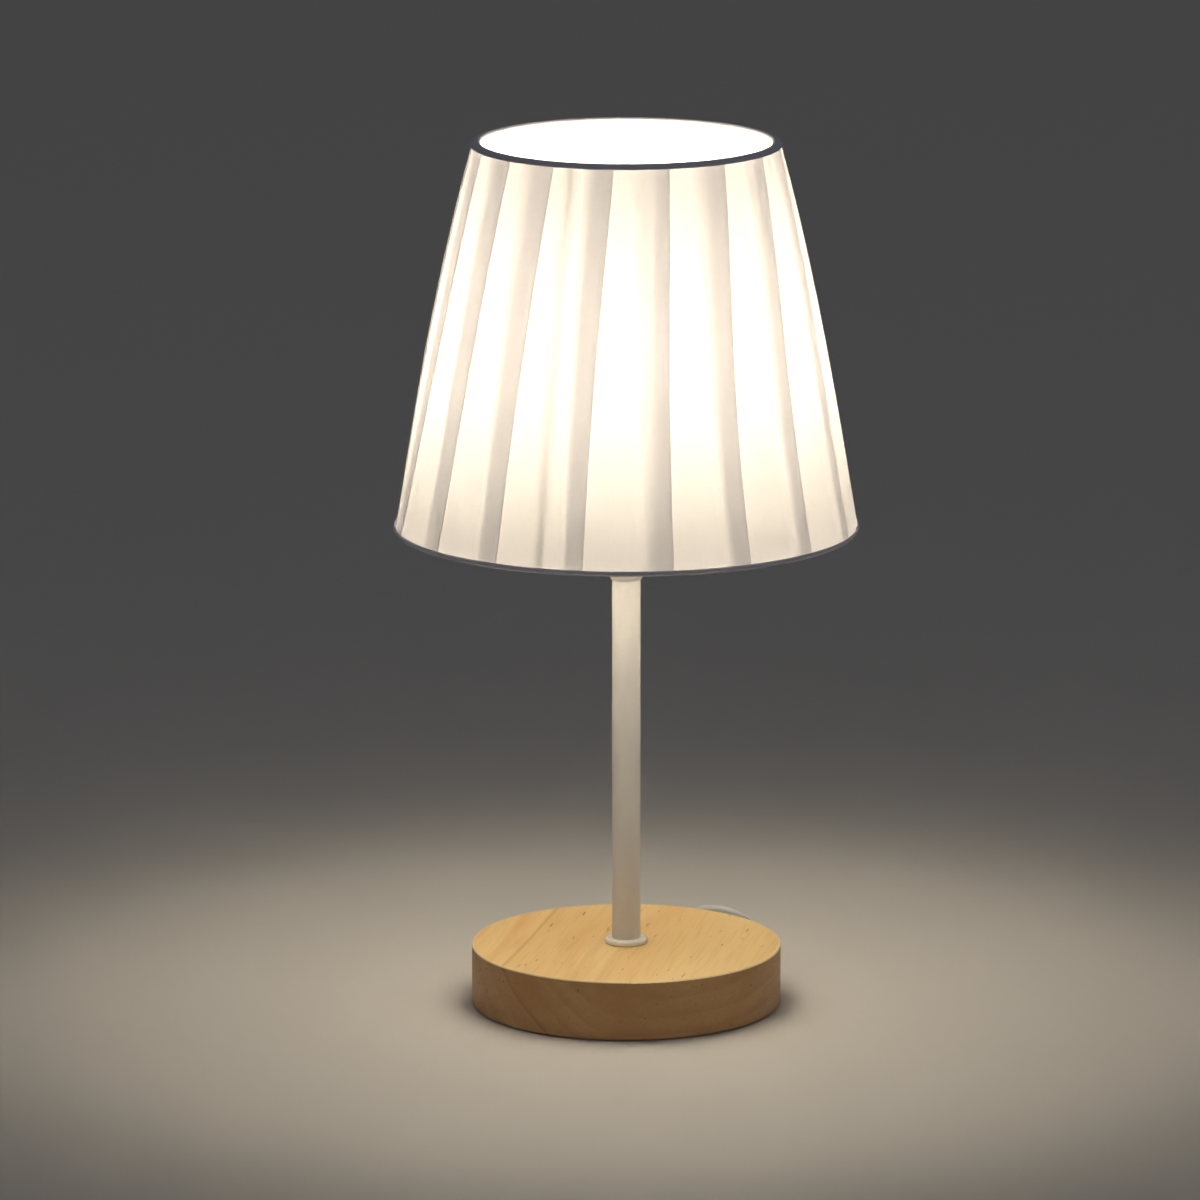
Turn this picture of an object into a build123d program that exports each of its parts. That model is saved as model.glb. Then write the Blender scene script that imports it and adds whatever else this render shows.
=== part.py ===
from build123d import *
import os
from math import ceil, cos, dist, hypot, pi, radians, sin, sqrt, tan

# Bedside lamp with a round wooden base, a slim post and a pleated cloth shade.
# Millimetres and degrees. +Z is up and the lamp stands on z = 0, its front towards -Y.

# Base
base_radius = 67.0
base_height = 25.8
base_edge = 0.7
pad_proud = 0.5
pad_thickness = 1.5
pad_radius = 62.0
pocket_radius = 20.0
pocket_roof_wood = 7.3
weight_inner_radius = 30.0
weight_outer_radius = 52.0
weight_thickness = 4.4
weight_screw_count = 3
weight_screw_length = 9.0
weight_screw_radius = 1.9
weight_screw_head_radius = 3.6
weight_screw_point = 2.0

# Post and the threaded tube that clamps the lamp together
post_radius = 6.1
post_bore_radius = 5.2
post_length = 161.6
tube_radius = 4.95
tube_bore_radius = 3.6
tube_below_roof = 6.5
tube_above_cup_floor = 7.0
collar_radius = 9.3
collar_height = 2.5
collar_edge = 1.1
nut_across_flats = 14.0
nut_height = 5.0
washer_radius = 10.0
washer_thickness = 1.0
lock_washer_radius = 8.2
lock_washer_thickness = 0.9
lock_washer_slit = 1.2

# Lampholder
cup_radius = 19.5
cup_foot_radius = 6.7
cup_foot_flare = 0.9
cup_foot_height = 1.6
cup_wall = 1.4
cup_floor_height = 3.8
cup_rim_height = 17.0
spigot_depth = 3.5
body_bore_radius = 17.4
shoulder_radius = 22.0
shoulder_height = 4.0
body_below_shoulder = 18.0
thread_radius = 19.6
thread_length = 20.0
thread_pitch = 2.5
thread_depth = 0.5
core_below_floor = 12.5
core_cavity_radius = 14.0
core_cavity_depth = 25.5
shell_thickness = 0.45
shell_length = 23.0
contact_thickness = 0.7
contact_length = 11.5
contact_width = 4.8
terminal_offset = 8.0
terminal_back = 5.6
terminal_head_radius = 2.4
terminal_head_height = 1.6
terminal_shank_radius = 1.4
terminal_shank_length = 6.0
knob_radius = 6.0
knob_length = 13.5
knob_flutes = 14
knob_flute_radius = 1.0
knob_flute_offset = 0.6
knob_skirt = 2.5
knob_edge = 1.0
knob_boss_height = 1.5
knob_boss_wall = 0.8
knob_above_cup = 9.0
shaft_radius = 2.0
cam_radius = 4.0
cam_width = 6.4
cam_swing_gap = 0.6
cam_thickness = 2.4
cam_pocket_depth = 7.0
ring_outer_radius = 25.5
ring_height = 7.0
ring_grips = 30
ring_grip_radius = 1.1
ring_grip_offset = 0.5

# Shade
shade_bottom_radius = 100.4
shade_top_radius = 66.1
shade_bottom_height = 209.8
shade_height = 168.7
trim_thickness = 0.5
trim_web = 0.4
trim_bottom_width = 2.2
trim_top_width = 2.0
pleat_count = 17
pleat_step = 0.9
pleat_rise = 0.3
cover_swell = 2.3
cover_swell_bias = 0.8
cover_levels = 5
cloth_thickness = 0.4
liner_thickness = 0.5
first_fold_bottom = -10.7
first_fold_top = -4.4
wire_radius = 1.0
fitter_outer_radius = 28.0
fitter_thickness = 1.5
arm_radius = 1.25
arm_count = 3
arm_level_length = 7.0
arm_first_angle = 90.0
arm_bend_radius = 6.0

# How far each fold strays from even spacing, in degrees, going round from the front
fold_stray_bottom = [0, 1.2, 0.4, -0.4, -0.7, -0.9, 0.9, -0.5, 0.6, -1, 0.4, 0.8, -0.7, 0.3, -1.9, -0.6, -1.7]
fold_stray_top = [0, -0.7, 1.1, 1.9, 1.7, 1.0, 1.6, 0.2, 1.1, -0.6, 0.9, 1.4, 0.3, -0.8, -0.6, -1.0, -1.8]

# Bulb
bulb_radius = 30.0
bulb_length = 104.0
bulb_glass = 0.8
bulb_neck_radius = 14.0
bulb_neck_height = 9.0
bulb_shoulder_angle = 35.0
bulb_neck_depth = 5.0
cap_radius = 13.05
cap_length = 20.5
cap_bead_pitch = 3.6
cap_bead_depth = 0.55
cap_wall = 0.4
cap_insulator_height = 3.0
cap_insulator_spigot = 2.0
cap_insulator_lip = 0.6
tip_radius = 4.8
tip_height = 1.4
tip_edge = 0.8
stem_length = 30.0
stem_waist_height = 10.0
stem_waist_radius = 4.0
stem_top_radius = 2.5
filament_length = 34.0
filament_radius = 0.9
filament_count = 4
filament_circle = 7.0

# Cord and the two leads in it
cord_diameter = 3.8
cord_exit_angle = 70.0
cord_exit_height = 14.0
cord_pocket_lift = 0.8
cord_pocket_run = 9.0
cord_pocket_bends = [5.0, 4.0, 4.5]
cord_jacket_strip = 3.0
lead_radius = 0.9
lead_side = 1.15
lead_bend = 1.8
lead_end_run = 3.0
gland_flange_radius = 6.0
gland_flange_thickness = 1.5
gland_shank_radius = 4.5
gland_shank_length = 10.0
sleeve_length = 17.0
sleeve_rise_angle = 15.0
sleeve_root_radius = 4.0
sleeve_tip_radius = 2.6
sleeve_straight_end = 1.0
coil_mid_radius = 22.4
coil_quarters_per_layer = 17
coil_pitch = 4.32
coil_lift = 0.5
coil_climb_tuck = 0.85
coil_start_angle = 75.0
coil_centre = (8.5, 101.4)
coil_join_run = 18.0
coil_leave_run = 8.0
sleeve_leave_run = 7.0
plug_enter_run = 7.0
tie_width = 5.0
tie_thickness = 0.35
tie_gap = 0.15
tie_slack = 0.3
tie_angle = 235.0
plug_axis_x = -38.5
plug_axis_height = 6.5
plug_front_y = 77.5
plug_width = 24.0
plug_length = 22.0
plug_height = 13.0
plug_edge = 3.0
plug_neck_length = 14.0
plug_neck_radius = 5.0
plug_neck_tip_radius = 2.9
blade_length = 17.0
blade_width = 6.35
blade_thickness = 1.5
blade_spacing = 12.7
blade_inside = 8.0
blade_hole_radius = 1.6
blade_hole_from_tip = 3.0

# Clearances
seat_gap = 0.02
loose_gap = 0.05
running_gap = 0.08
soft_gap = 0.3
weld_overlap = 0.1
cord_bore_gap = 0.32
over = 1.0
fitter_clearance = 0.5
shell_clearance = 0.3

# Heights that follow from the sizes above
base_bottom = pad_proud
base_top = base_bottom + base_height
pocket_roof = base_top - pocket_roof_wood
weight_roof = pad_thickness + weight_thickness + soft_gap
post_top = base_top + post_length
cup_floor = post_top + cup_floor_height
cup_rim = post_top + cup_rim_height
tube_bottom = pocket_roof - tube_below_roof
tube_top = cup_floor + tube_above_cup_floor
shoulder_bottom = cup_rim + body_below_shoulder
shoulder_top = shoulder_bottom + shoulder_height
thread_top = shoulder_top + thread_length
core_floor = thread_top - core_cavity_depth
core_bottom = core_floor - core_below_floor
fitter_bottom = shoulder_top + seat_gap
fitter_top = fitter_bottom + fitter_thickness
ring_bottom = fitter_top + loose_gap
knob_height = cup_rim + knob_above_cup
bulb_bottom = core_floor + contact_thickness + soft_gap
cap_bottom = bulb_bottom + tip_height + cap_insulator_height
cap_top = cap_bottom + cap_length
bulb_centre = bulb_bottom + bulb_length - bulb_radius
shade_top_height = shade_bottom_height + shade_height
shade_slope = (shade_top_radius - shade_bottom_radius) / shade_height
wall_lean = sqrt(1 + shade_slope ** 2)
cord_radius = cord_diameter / 2
coil_radial_run = coil_quarters_per_layer * coil_pitch / 4
coil_outer_radius = coil_mid_radius + coil_radial_run / 2
coil_inner_radius = coil_mid_radius - coil_radial_run / 2
coil_low_height = coil_lift + cord_radius
coil_high_height = coil_low_height + coil_pitch

parts = {}


def lathe(*profile):
    """A solid turned about Z from (radius, height) corners."""
    outline = Polyline(*[(r, 0, z) for r, z in profile], close=True)
    return revolve(make_face(outline), Axis.Z)


def ring(outer, inner, low, high):
    return lathe((inner, low), (outer, low), (outer, high), (inner, high))


def rod(radius, low, high):
    return Pos(0, 0, low) * Cylinder(radius, high - low, align=(Align.CENTER, Align.CENTER, Align.MIN))


def along_x(shape):
    """Turns a shape made along +Z so that it points along +X."""
    return Rot(0, 90, 0) * shape


def outward(r, z):
    """A point at radius r in the upright plane that the cord leaves through."""
    turn = radians(cord_exit_angle)
    return (r * cos(turn), r * sin(turn), z)


def fillet_radii(points):
    """The largest easy arc at each inner corner of a cord's route."""
    radii = []
    for before, corner, after in zip(points, points[1:], points[2:]):
        run_in, run_out = Vector(*corner) - Vector(*before), Vector(*after) - Vector(*corner)
        half_turn = radians(run_in.get_angle(run_out)) / 2
        radii.append(0.45 * min(run_in.length, run_out.length) / tan(half_turn))
    return radii


def tube_along(path, radius):
    """A round tube along a path, with its volume compared with section times length."""
    start = Plane(origin=path @ 0, z_dir=path % 0)
    tube = sweep(start * Circle(radius), path=path)
    print("tube volume / section x length:", round(tube.volume / (pi * radius ** 2 * path.length), 5))
    return tube


def cord_tube(name, points):
    radii = fillet_radii(points)
    path = FilletPolyline(*points, radius=radii)
    print(name, "length", round(path.length, 1), "radii", [round(r, 1) for r in radii])
    return tube_along(path, cord_radius)


def hex_nut(low):
    hexagon = RegularPolygon(nut_across_flats / 2, 6, major_radius=False)
    blank = extrude(Plane.XY.offset(low) * hexagon, nut_height)
    return blank - rod(tube_radius + loose_gap, low - over, low + nut_height + over)


def weight_screw_places():
    spread = (weight_inner_radius + weight_outer_radius) / 2
    first = cord_exit_angle + 180 / weight_screw_count
    return PolarLocations(spread, weight_screw_count, start_angle=first)


# Base: wood disc on felt, with a steel ring under it to keep the lamp upright

def gland_bore(radius, inner, outer):
    path = Line(outward(inner, cord_exit_height), outward(outer, cord_exit_height))
    return sweep(Plane(origin=path @ 0, z_dir=path % 0) * Circle(radius), path=path)


disc = rod(base_radius, base_bottom, base_top)
disc = fillet(disc.edges().filter_by(GeomType.CIRCLE), base_edge)
disc -= rod(pad_radius + loose_gap, 0, pad_thickness + loose_gap)
disc -= rod(pocket_radius, 0, pocket_roof)
disc -= ring(weight_outer_radius + loose_gap, weight_inner_radius - loose_gap, 0, weight_roof)
disc -= rod(tube_radius + running_gap, 0, base_top + over)
disc -= gland_bore(cord_radius + cord_bore_gap, pocket_radius - over, base_radius)
disc -= gland_bore(gland_shank_radius + loose_gap, base_radius - gland_shank_length, base_radius + over)
screw_top = pad_thickness + soft_gap + weight_screw_length
for place in weight_screw_places():
    disc -= place * rod(weight_screw_radius + loose_gap, weight_roof - over, screw_top + loose_gap)
parts["base_disc"] = disc

parts["felt_pad"] = rod(pad_radius, 0, pad_thickness)

weight_bottom = weight_roof - seat_gap - weight_thickness
countersink = weight_screw_head_radius - weight_screw_radius
weight = ring(weight_outer_radius, weight_inner_radius, weight_bottom, weight_roof - seat_gap)
screw_profile = [
    (0, weight_bottom), (weight_screw_head_radius, weight_bottom),
    (weight_screw_radius, weight_bottom + countersink),
    (weight_screw_radius, screw_top - weight_screw_point), (0, screw_top),
]
sink = [
    (0, weight_bottom - over), (weight_screw_head_radius + loose_gap + over, weight_bottom - over),
    (weight_screw_radius + loose_gap, weight_bottom + countersink),
    (weight_screw_radius + loose_gap, weight_roof + over), (0, weight_roof + over),
]
for place in weight_screw_places():
    weight -= place * lathe(*sink)
parts["base_weight"] = weight
parts["weight_screws"] = Compound(children=[place * lathe(*screw_profile) for place in weight_screw_places()])

collar = ring(collar_radius, post_radius + loose_gap, base_top, base_top + collar_height)
collar_rims = collar.edges().filter_by(GeomType.CIRCLE).sort_by(SortBy.RADIUS)[-2:]
parts["base_collar"] = fillet(collar_rims, collar_edge)

# Post, threaded tube and what clamps them under the wood

parts["post"] = ring(post_radius, post_bore_radius, base_top, post_top)
parts["threaded_tube"] = ring(tube_radius, tube_bore_radius, tube_bottom, tube_top)

washer_bottom = pocket_roof - seat_gap - washer_thickness
lock_bottom = washer_bottom - seat_gap - lock_washer_thickness
stack_bore = tube_radius + running_gap
parts["base_washer"] = ring(washer_radius, stack_bore, washer_bottom, washer_bottom + washer_thickness)
lock = ring(lock_washer_radius, stack_bore, lock_bottom, lock_bottom + lock_washer_thickness)
slit_start = (Align.MIN, Align.CENTER, Align.CENTER)
lock_slit = Box(lock_washer_radius, lock_washer_slit, 4 * lock_washer_thickness, align=slit_start)
parts["base_lock_washer"] = lock - Pos(0, 0, lock_bottom) * lock_slit
parts["base_nut"] = hex_nut(lock_bottom - seat_gap - nut_height)


# Lampholder

cup_lower = cup_foot_radius + cup_foot_flare
cone_run = cup_radius - cup_lower
cone_foot = post_top + cup_foot_height
cone_top = cone_foot + cone_run
floor_radius = cup_lower + (cup_floor - cone_foot) - cup_wall
cup_bore = cup_radius - cup_wall
parts["lampholder_cup"] = lathe(
    (tube_radius + loose_gap, post_top), (cup_foot_radius, post_top), (cup_lower, cone_foot),
    (cup_radius, cone_top), (cup_radius, cup_rim), (cup_bore, cup_rim),
    (cup_bore, cup_floor + cup_bore - floor_radius), (floor_radius, cup_floor),
    (tube_radius + loose_gap, cup_floor),
)
parts["holder_nut"] = hex_nut(cup_floor + seat_gap)

thread_profile = []
bead_count = int(thread_length / thread_pitch)
for n in range(bead_count):
    low = shoulder_top + n * thread_pitch
    root, crest = thread_radius - thread_depth, thread_radius
    thread_profile += [(root, low), (root, low + 0.3 * thread_pitch), (crest, low + 0.5 * thread_pitch),
                       (crest, low + 0.8 * thread_pitch)]
holder_body = lathe(
    (body_bore_radius, cup_rim - spigot_depth), (cup_bore - loose_gap, cup_rim - spigot_depth),
    (cup_bore - loose_gap, cup_rim + seat_gap), (cup_radius, cup_rim + seat_gap),
    (cup_radius, shoulder_bottom), (shoulder_radius, shoulder_bottom),
    (shoulder_radius, shoulder_top), *thread_profile,
    (thread_radius - thread_depth, thread_top), (body_bore_radius, thread_top),
)
boss_reach = cup_radius + knob_boss_height
boss = Pos(0, 0, knob_height) * along_x(rod(knob_radius, body_bore_radius + knob_boss_wall, boss_reach))
shaft_hole = rod(shaft_radius + running_gap, body_bore_radius - 2 * over, boss_reach + over)
shaft_hole = Pos(0, 0, knob_height) * along_x(shaft_hole)
parts["lampholder_body"] = holder_body + boss - shaft_hole

core_radius = body_bore_radius - loose_gap
core = rod(core_radius, core_bottom, thread_top) - rod(core_cavity_radius, core_floor, thread_top + over)
cam_clear = cam_radius + cam_swing_gap
core -= Pos(core_radius, 0, knob_height) * Box(2 * cam_pocket_depth, 2 * cam_clear, 2 * cam_clear)
terminals = [Pos(side * terminal_offset, -terminal_back, 0) for side in (-1, 1)]
shank_top = core_bottom + terminal_shank_length
for place in terminals:
    core -= place * rod(terminal_shank_radius + loose_gap, core_bottom - over, shank_top)
parts["lampholder_core"] = core

terminal_top = core_bottom - seat_gap
terminal_bottom = terminal_top - terminal_head_height
terminal_screw = rod(terminal_head_radius, terminal_bottom, terminal_top)
terminal_screw += rod(terminal_shank_radius, terminal_bottom, shank_top - soft_gap)
parts["terminal_screws"] = Compound(children=[place * terminal_screw for place in terminals])

shell_bore = cap_radius + shell_clearance
shell_bottom = core_floor + soft_gap
shell_top = shell_bottom + shell_length
parts["screw_shell"] = ring(shell_bore + shell_thickness, shell_bore, shell_bottom, shell_top)
strip = Box(contact_length, contact_width, contact_thickness, align=(Align.CENTER, Align.CENTER, Align.MIN))
parts["centre_contact"] = Pos(0, 0, core_floor + seat_gap) * strip

knob_start = boss_reach + soft_gap
knob = rod(knob_radius, knob_start, knob_start + knob_length)
knob = fillet(knob.edges().filter_by(GeomType.CIRCLE).sort_by(Axis.Z)[-1], knob_edge)
for place in PolarLocations(knob_radius + knob_flute_offset, knob_flutes):
    knob -= place * rod(knob_flute_radius, knob_start + knob_skirt, knob_start + knob_length + over)
shaft_start = core_radius - cam_pocket_depth + soft_gap
shaft_end = knob_start + knob_length / 2
knob -= rod(shaft_radius + seat_gap, knob_start - over, shaft_end + soft_gap)
shaft = rod(shaft_radius, shaft_start, shaft_end)
cam_start = shaft_start + soft_gap
cam = extrude(Plane.XY.offset(cam_start) * Rectangle(cam_width, cam_width), cam_thickness)
cam &= rod(cam_radius, cam_start, cam_start + cam_thickness)
cam -= rod(shaft_radius + seat_gap, cam_start - over, cam_start + cam_thickness + over)
for name, shape in (("switch_knob", knob), ("switch_shaft", shaft), ("switch_cam", cam)):
    parts[name] = Pos(0, 0, knob_height) * along_x(shape)

shade_ring = ring(ring_outer_radius, thread_radius + running_gap, ring_bottom, ring_bottom + ring_height)
for place in PolarLocations(ring_outer_radius + ring_grip_offset, ring_grips):
    shade_ring -= place * rod(ring_grip_radius, ring_bottom - over, ring_bottom + ring_height + over)
parts["shade_ring"] = shade_ring

# Wires: the cord inside the base and post, and its two leads at the lampholder

jacket_end = tube_top - cord_jacket_strip
lead_end = terminal_bottom - seat_gap
leads = []
for side, place in zip((-1, 1), terminals):
    target = place.position
    lead_route = [
        (side * lead_side, 0, jacket_end), (side * lead_side, 0, tube_top),
        (target.X, target.Y, lead_end - lead_end_run), (target.X, target.Y, lead_end),
    ]
    leads.append(tube_along(FilletPolyline(*lead_route, radius=lead_bend), lead_radius))
parts["inner_leads"] = Compound(children=leads)

pocket_cord_height = pad_thickness + cord_radius + cord_pocket_lift
sleeve_start = base_radius + gland_flange_thickness
sleeve_bend = (sleeve_length - sleeve_straight_end) / radians(sleeve_rise_angle)
bend_run = sleeve_bend * tan(radians(sleeve_rise_angle) / 2)
corner_radius = sleeve_start + bend_run
tip_run = bend_run + sleeve_straight_end
tip_r = corner_radius + tip_run * cos(radians(sleeve_rise_angle))
tip_z = cord_exit_height + tip_run * sin(radians(sleeve_rise_angle))
inner_route = [
    outward(0, jacket_end), outward(0, pocket_cord_height), outward(cord_pocket_run, pocket_cord_height),
    outward(2 * cord_pocket_run, cord_exit_height), outward(corner_radius, cord_exit_height),
    outward(tip_r, tip_z),
]
inner_path = FilletPolyline(*inner_route, radius=[*cord_pocket_bends, sleeve_bend])
parts["inner_cord"] = tube_along(inner_path, cord_radius)

# Cord gland: a flanged shank in the wood and a tapered sleeve that bends up with the cord


def sleeve_section(share, radius):
    """A round section part of the way along the sleeve's bend."""
    turn = radians(sleeve_rise_angle) * share
    r = sleeve_start + sleeve_bend * sin(turn)
    z = cord_exit_height + sleeve_bend * (1 - cos(turn))
    heading = Vector(*outward(cos(turn), sin(turn)))
    return Plane(origin=outward(r, z), z_dir=heading) * Circle(radius)


sections = []
for n in range(4):
    share = n / 3
    taper = share * (sleeve_root_radius - sleeve_tip_radius)
    sections.append(sleeve_section(share, sleeve_root_radius - taper))
tip_heading = Vector(*outward(cos(radians(sleeve_rise_angle)), sin(radians(sleeve_rise_angle))))
sleeve_tip = Vector(*outward(tip_r, tip_z))
sleeve = loft(sections) + extrude(sections[-1], sleeve_straight_end, dir=tip_heading)
flange = gland_bore(gland_flange_radius, base_radius + seat_gap, sleeve_start + seat_gap)
shank = gland_bore(gland_shank_radius, base_radius - gland_shank_length + soft_gap, sleeve_start)
bore_path = FilletPolyline(
    outward(base_radius - gland_shank_length - over, cord_exit_height),
    outward(corner_radius, cord_exit_height), sleeve_tip + tip_heading * over, radius=sleeve_bend,
)
bore_start = Plane(origin=bore_path @ 0, z_dir=bore_path % 0)
bore = sweep(bore_start * Circle(cord_radius + loose_gap), path=bore_path)
parts["cord_gland"] = sleeve + flange + shank - bore

# Shade: every layer follows one leaning wall, so its size is set once

cover_high = trim_thickness + loose_gap
cover_low = cover_high + pleat_step
liner_face = cover_low + cloth_thickness + loose_gap


def wall(height, inset):
    """Radius of the shade's wall at a height, so far inside the outermost surface."""
    return shade_bottom_radius + (height - shade_bottom_height) * shade_slope - inset


def wall_band(outer_inset, inner_inset, low, high):
    return lathe(
        (wall(low, inner_inset), low), (wall(low, outer_inset), low),
        (wall(high, outer_inset), high), (wall(high, inner_inset), high),
    )


cover_bottom = shade_bottom_height + trim_web + loose_gap
cover_top = shade_top_height - trim_web - loose_gap
parts["shade_liner"] = wall_band(liner_face, liner_face + liner_thickness, cover_bottom, cover_top)


def on_wall(angle, height, inset):
    """A point on the wall, its angle counted from the front towards +X."""
    r = wall(height, inset)
    return (r * sin(radians(angle)), -r * cos(radians(angle)), height)


def blend(low, high, share):
    return low + (high - low) * share


swell_start = shade_bottom_height + trim_bottom_width + loose_gap
swell_end = shade_top_height - trim_top_width - loose_gap


def swell(height):
    """How far the cloth puffs out between the two trims."""
    share = min(1, max(0, (height - swell_start) / (swell_end - swell_start)))
    return cover_swell * sin(pi * (1 - share) ** cover_swell_bias)


def fold_angles(height):
    share = (height - cover_bottom) / (cover_top - cover_bottom)
    first = blend(first_fold_bottom, first_fold_top, share)
    strays = [blend(low, high, share) for low, high in zip(fold_stray_bottom, fold_stray_top)]
    return [first + n * 360 / pleat_count + strays[n % len(strays)] for n in range(pleat_count)]


def pleated_outline(height):
    """A closed saw-toothed outline: each panel climbs on to the next fold and drops off its edge."""
    folds = fold_angles(height)
    low, high = cover_low - swell(height), cover_high - swell(height)
    edges = []
    for start, end in zip(folds, folds[1:] + [folds[0] + 360]):
        foot, crest = on_wall(start, height, low), on_wall(end, height, high)
        middle = on_wall((start + end) / 2, height, low - pleat_rise)
        edges += [ThreePointArc(foot, middle, crest), Line(crest, on_wall(end, height, low))]
    return make_face(Wire(edges))


swell_heights = [blend(swell_start, swell_end, n / cover_levels) for n in range(cover_levels + 1)]
cover_heights = [cover_bottom, *swell_heights, cover_top]
cover = loft([pleated_outline(height) for height in cover_heights], ruled=True)
cover_back = liner_face - loose_gap
hollow_side = [(wall(height, cover_back - swell(height)), height) for height in cover_heights]
below, above = cover_bottom - over, cover_top + over
hollow = lathe(
    (0, below), (wall(below, cover_back), below), *hollow_side, (wall(above, cover_back), above), (0, above),
)
parts["pleated_cover"] = cover - hollow

wire_inset = liner_face + liner_thickness + loose_gap + wire_radius * wall_lean
wire_low = cover_bottom + wire_radius
wire_high = cover_top - wire_radius
for name, height in (("bottom_wire_ring", wire_low), ("top_wire_ring", wire_high)):
    parts[name] = Pos(0, 0, height) * Torus(wall(height, wire_inset), wire_radius)

web_inset = wire_inset + wire_radius
for name, edge, inward, width in (
    ("bottom_trim", shade_bottom_height, 1, trim_bottom_width),
    ("top_trim", shade_top_height, -1, trim_top_width),
):
    web, lip = edge + inward * trim_web, edge + inward * width
    parts[name] = lathe(
        (wall(edge, web_inset), edge), (wall(edge, 0), edge), (wall(lip, 0), lip),
        (wall(lip, trim_thickness), lip), (wall(web, trim_thickness), web), (wall(web, web_inset), web),
    )

parts["fitter_ring"] = ring(fitter_outer_radius, thread_radius + fitter_clearance, fitter_bottom, fitter_top)
arm_height = fitter_bottom + fitter_thickness / 2
arm_end = wall(wire_low, wire_inset) - wire_radius + weld_overlap
arm_path = FilletPolyline(
    (fitter_outer_radius - weld_overlap, 0, arm_height),
    (fitter_outer_radius + arm_level_length, 0, arm_height),
    (arm_end - arm_level_length, 0, wire_low), (arm_end, 0, wire_low), radius=arm_bend_radius,
)
arm = tube_along(arm_path, arm_radius)
arm_turns = [Rot(0, 0, arm_first_angle + n * 360 / arm_count) for n in range(arm_count)]
parts["fitter_arms"] = Compound(children=[turn * arm for turn in arm_turns])


# Bulb

def bulb_solid(inset):
    """The bulb's pear shape, drawn in by a wall thickness."""
    r, neck = bulb_radius - inset, bulb_neck_radius - inset
    leave = radians(bulb_shoulder_angle)
    neck_top = cap_top + bulb_neck_height
    low = cap_top + seat_gap - (bulb_neck_depth if inset else 0.0)
    join = (r * cos(leave), 0, bulb_centre - r * sin(leave))
    crown = ThreePointArc((0, 0, bulb_centre + r), (r, 0, bulb_centre), join)
    waist = Spline(join, (neck, 0, neck_top), tangents=[(-sin(leave), 0, -cos(leave)), (0, 0, -1)])
    rest = Polyline((neck, 0, neck_top), (neck, 0, low), (0, 0, low), (0, 0, bulb_centre + r))
    return revolve(make_face(Wire([crown, waist] + rest.edges())), Axis.Z)


parts["bulb_globe"] = bulb_solid(0) - bulb_solid(bulb_glass)

beads = []
for n in range(int(cap_length / cap_bead_pitch)):
    low = cap_bottom + n * cap_bead_pitch
    crest, root = cap_radius, cap_radius - cap_bead_depth
    beads += [(root, low), (crest, low + 0.3 * cap_bead_pitch), (crest, low + 0.6 * cap_bead_pitch)]
cap_bore = cap_radius - cap_bead_depth - cap_wall
parts["bulb_cap"] = lathe(
    (cap_bore, cap_bottom), *beads, (cap_radius - cap_bead_depth, cap_top - 1), (cap_radius, cap_top),
    (cap_bore, cap_top),
)
insulator_bottom = bulb_bottom + tip_height
spigot_top = cap_bottom + cap_insulator_spigot
parts["cap_insulator"] = lathe(
    (0, insulator_bottom + seat_gap), (tip_radius + cap_insulator_lip, insulator_bottom + seat_gap),
    (cap_bore - loose_gap, cap_bottom), (cap_bore - loose_gap, spigot_top), (0, spigot_top),
)
tip = rod(tip_radius, bulb_bottom, insulator_bottom)
parts["bulb_contact"] = fillet(tip.edges().filter_by(GeomType.CIRCLE).sort_by(Axis.Z)[0], tip_edge)
stem_bottom = spigot_top + seat_gap
stem_top = cap_top + stem_length
stem_foot_radius = cap_bore - cap_wall
parts["bulb_stem"] = lathe(
    (0, stem_bottom), (stem_foot_radius, stem_bottom), (stem_foot_radius, cap_top),
    (stem_waist_radius, cap_top + stem_waist_height), (stem_top_radius, stem_top), (0, stem_top),
)
filament_foot = stem_top + seat_gap
spider = rod(filament_circle + 2 * filament_radius, filament_foot, filament_foot + filament_radius)
for place in PolarLocations(filament_circle, filament_count):
    spider += place * rod(filament_radius, filament_foot, filament_foot + filament_length)
parts["bulb_filament"] = spider


# Cord: an arch from the sleeve, a neat coil behind the base, and a short run to the plug

def coil_path():
    """Two layers of one spiral, in on the lower and out on the upper, climbing in a half turn."""
    edges = []
    points = []
    angle, radius = coil_start_angle, coil_outer_radius
    centre = Vector(coil_centre[0], coil_centre[1], coil_low_height)

    def spoke(turn):
        return Vector(cos(radians(turn)), sin(radians(turn)), 0)

    def quarter(end, heading):
        arc = TangentArc(here, end, tangent=heading)
        edges.append(arc.edge())
        points.extend(arc @ (step / 12) for step in range(12))

    here = centre + spoke(angle) * radius
    change = -coil_pitch / 4
    for layer in range(2):
        for n in range(coil_quarters_per_layer):
            end = centre + spoke(angle + 90) * radius
            quarter(end, spoke(angle + 90))
            here, angle = end, angle + 90
            radius += change
            centre -= spoke(angle) * change
        if layer == 0:
            radius -= change + coil_climb_tuck
            centre += spoke(angle) * (change + coil_climb_tuck)
            rise = Vector(0, 0, coil_pitch / 2)
            bulge = hypot(radius, coil_pitch / 2)
            top = centre + spoke(angle + 90) * bulge + rise
            across = spoke(angle) * -radius + rise
            quarter(top, spoke(angle + 90))
            here = top
            centre += rise * 2
            end = centre + spoke(angle + 180) * radius
            quarter(end, across.normalized())
            here, angle = end, angle + 180
            radius += coil_climb_tuck
            centre -= spoke(angle) * coil_climb_tuck
            change = -change
    return Wire(edges), points, here, spoke(angle + 90)


def least_self_gap(points, spacing):
    """The least distance between turns, on points that lie over half a turn apart."""
    skip = ceil(coil_inner_radius * 3 / spacing)
    tuples = [(p.X, p.Y, p.Z) for p in points]
    near = min(dist(a, b) for n, a in enumerate(tuples) for b in tuples[n + skip:])
    return near - cord_diameter


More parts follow.
